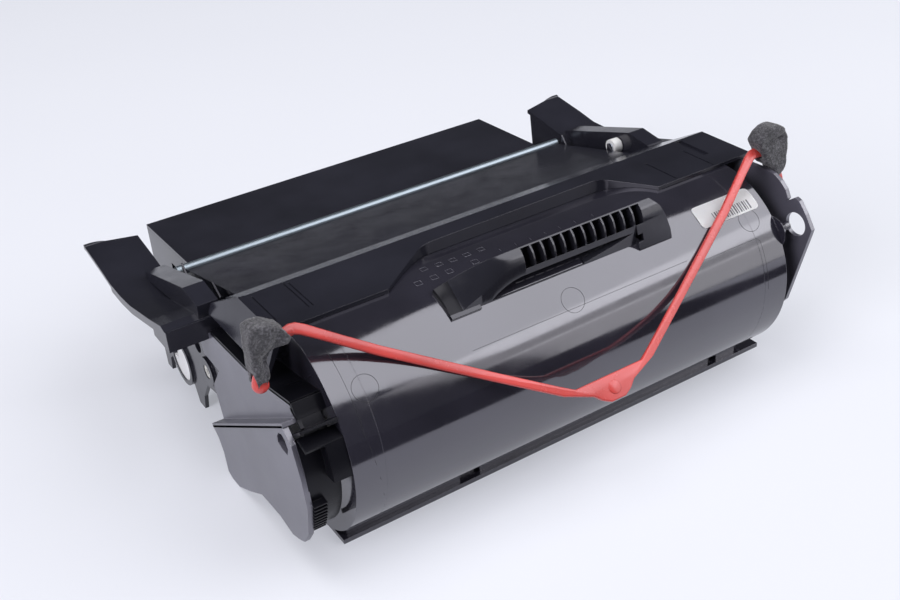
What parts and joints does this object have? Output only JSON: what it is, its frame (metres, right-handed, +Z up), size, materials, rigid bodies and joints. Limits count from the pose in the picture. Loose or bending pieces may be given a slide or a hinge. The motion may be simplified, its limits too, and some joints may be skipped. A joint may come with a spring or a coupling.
{
  "type": "laser printer toner cartridge",
  "caption": "Toner cartridge of a laser printer: cylindrical hopper with carry handle, drum unit with guide arms, waste box and a clipped-on transport strap.",
  "frame": {"origin": "under the middle of the whole cartridge, on the surface it stands on", "axes": "+X along the cartridge towards the end with the locating pin, +Y from the hopper towards the waste box, +Z up"},
  "size_m": [0.3344, 0.2972, 0.135],
  "materials": {
    "black_plastic": "glossy",
    "steel": "ground",
    "spring_steel": "rolled",
    "white_plastic": "satin",
    "gear_plastic": "satin",
    "drum_coating": "glossy",
    "roller_rubber": "smooth",
    "blade_rubber": "translucent amber",
    "grey_plastic": "satin",
    "red_plastic": "satin",
    "felt": "fuzzy",
    "label_paper": "paper"
  },
  "bodies": {
    "frame": {"hopper_housing": "black_plastic", "hopper_cap_left": "black_plastic", "hopper_cap_right": "black_plastic", "fill_plug": "black_plastic", "carry_handle": "black_plastic", "top_cover": "black_plastic", "drum_frame": "black_plastic", "cleaning_blade": "blade_rubber", "blade_bracket": "spring_steel", "waste_box": "black_plastic", "waste_box_lid": "black_plastic", "tie_rod": "steel", "side_frame_left": "black_plastic", "side_frame_right": "black_plastic", "roller_pin": "steel", "side_cover_left": "black_plastic", "side_cover_right": "black_plastic", "doctor_blade": "spring_steel", "transport_lock": "red_plastic", "foam_pad_left": "felt", "foam_pad_right": "felt", "label": "label_paper"},
    "drum_assembly": {"drum": "drum_coating", "drum_gear": "gear_plastic", "drum_hub_right": "gear_plastic"},
    "developer": {"developer_roller": "roller_rubber", "developer_shaft": "steel", "developer_gear": "gear_plastic"},
    "adder": {"adder_roller": "roller_rubber", "adder_shaft": "steel", "adder_gear": "gear_plastic"},
    "agitator": {"agitator_paddle": "grey_plastic", "agitator_gear": "gear_plastic"},
    "agitator_idler_body": {"agitator_idler": "gear_plastic"},
    "auger_idler_body": {"auger_idler": "gear_plastic"},
    "auger": {"waste_auger": "gear_plastic", "auger_gear": "white_plastic"},
    "charge": {"charge_roller": "roller_rubber", "charge_shaft": "steel"},
    "guide_roller_body": {"guide_roller": "white_plastic"}
  },
  "joints": [
    {"name": "drum_spin", "type": "hinge", "parent": "frame", "child": "drum_assembly", "pos_m": [0, 0.02311, 0.037], "axis": [1, 0, 0], "continuous": true},
    {"name": "developer_spin", "type": "hinge", "parent": "frame", "child": "developer", "pos_m": [0, -0.00082, 0.04122], "axis": [1, 0, 0], "continuous": true},
    {"name": "adder_spin", "type": "hinge", "parent": "frame", "child": "adder", "pos_m": [0, -0.01751, 0.04664], "axis": [1, 0, 0], "continuous": true},
    {"name": "agitator_spin", "type": "hinge", "parent": "frame", "child": "agitator", "pos_m": [0, -0.07289, 0.056], "axis": [1, 0, 0], "continuous": true},
    {"name": "agitator_idler_spin", "type": "hinge", "parent": "frame", "child": "agitator_idler_body", "pos_m": [-0.135, -0.03577, 0.0554], "axis": [1, 0, 0], "continuous": true},
    {"name": "auger_idler_spin", "type": "hinge", "parent": "frame", "child": "auger_idler_body", "pos_m": [-0.135, 0.04943, 0.03685], "axis": [1, 0, 0], "continuous": true},
    {"name": "auger_spin", "type": "hinge", "parent": "frame", "child": "auger", "pos_m": [0, 0.06741, 0.0205], "axis": [1, 0, 0], "continuous": true},
    {"name": "charge_spin", "type": "hinge", "parent": "frame", "child": "charge", "pos_m": [0, 0.01941, 0.05798], "axis": [1, 0, 0], "continuous": true},
    {"name": "guide_roller_spin", "type": "hinge", "parent": "frame", "child": "guide_roller_body", "pos_m": [0.13455, 0.01861, 0.088], "axis": [1, 0, 0], "continuous": true}
  ],
  "couplings": [
    {"joint": "developer_spin", "follows": "drum_spin", "ratio": -1.4},
    {"joint": "adder_spin", "follows": "drum_spin", "ratio": 1.9091},
    {"joint": "agitator_idler_spin", "follows": "drum_spin", "ratio": -1.1053},
    {"joint": "agitator_spin", "follows": "drum_spin", "ratio": 0.58333},
    {"joint": "auger_idler_spin", "follows": "drum_spin", "ratio": -1.1667},
    {"joint": "auger_spin", "follows": "drum_spin", "ratio": 1.1667},
    {"joint": "charge_spin", "follows": "drum_spin", "ratio": -2.5}
  ]
}
